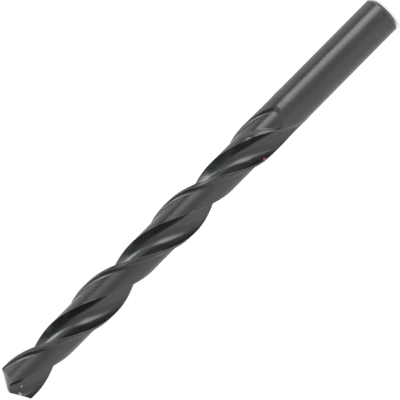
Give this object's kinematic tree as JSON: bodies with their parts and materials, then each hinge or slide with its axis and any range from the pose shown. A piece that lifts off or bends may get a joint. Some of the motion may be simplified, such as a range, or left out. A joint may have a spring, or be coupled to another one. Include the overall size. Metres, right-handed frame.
{
  "type": "twist drill bit",
  "caption": "Jobber-length twist drill with a plain round shank, right-hand helical flutes, narrow margins and a relieved conical point with a chisel edge.",
  "frame": {"origin": "centre of the flat shank end, which the drill stands on", "axes": "+Z along the drill's axis from the shank to the point; the two lips run along X at the point, and the drill cuts as it turns about +Z by the right-hand rule"},
  "size_m": [0.0104, 0.0104, 0.132],
  "materials": {
    "black_oxide_steel": "ground high-speed steel with a thin black-oxide skin, satin, lightly scratched"
  },
  "bodies": {
    "root": {"twist_drill": "black_oxide_steel"}
  },
  "joints": []
}
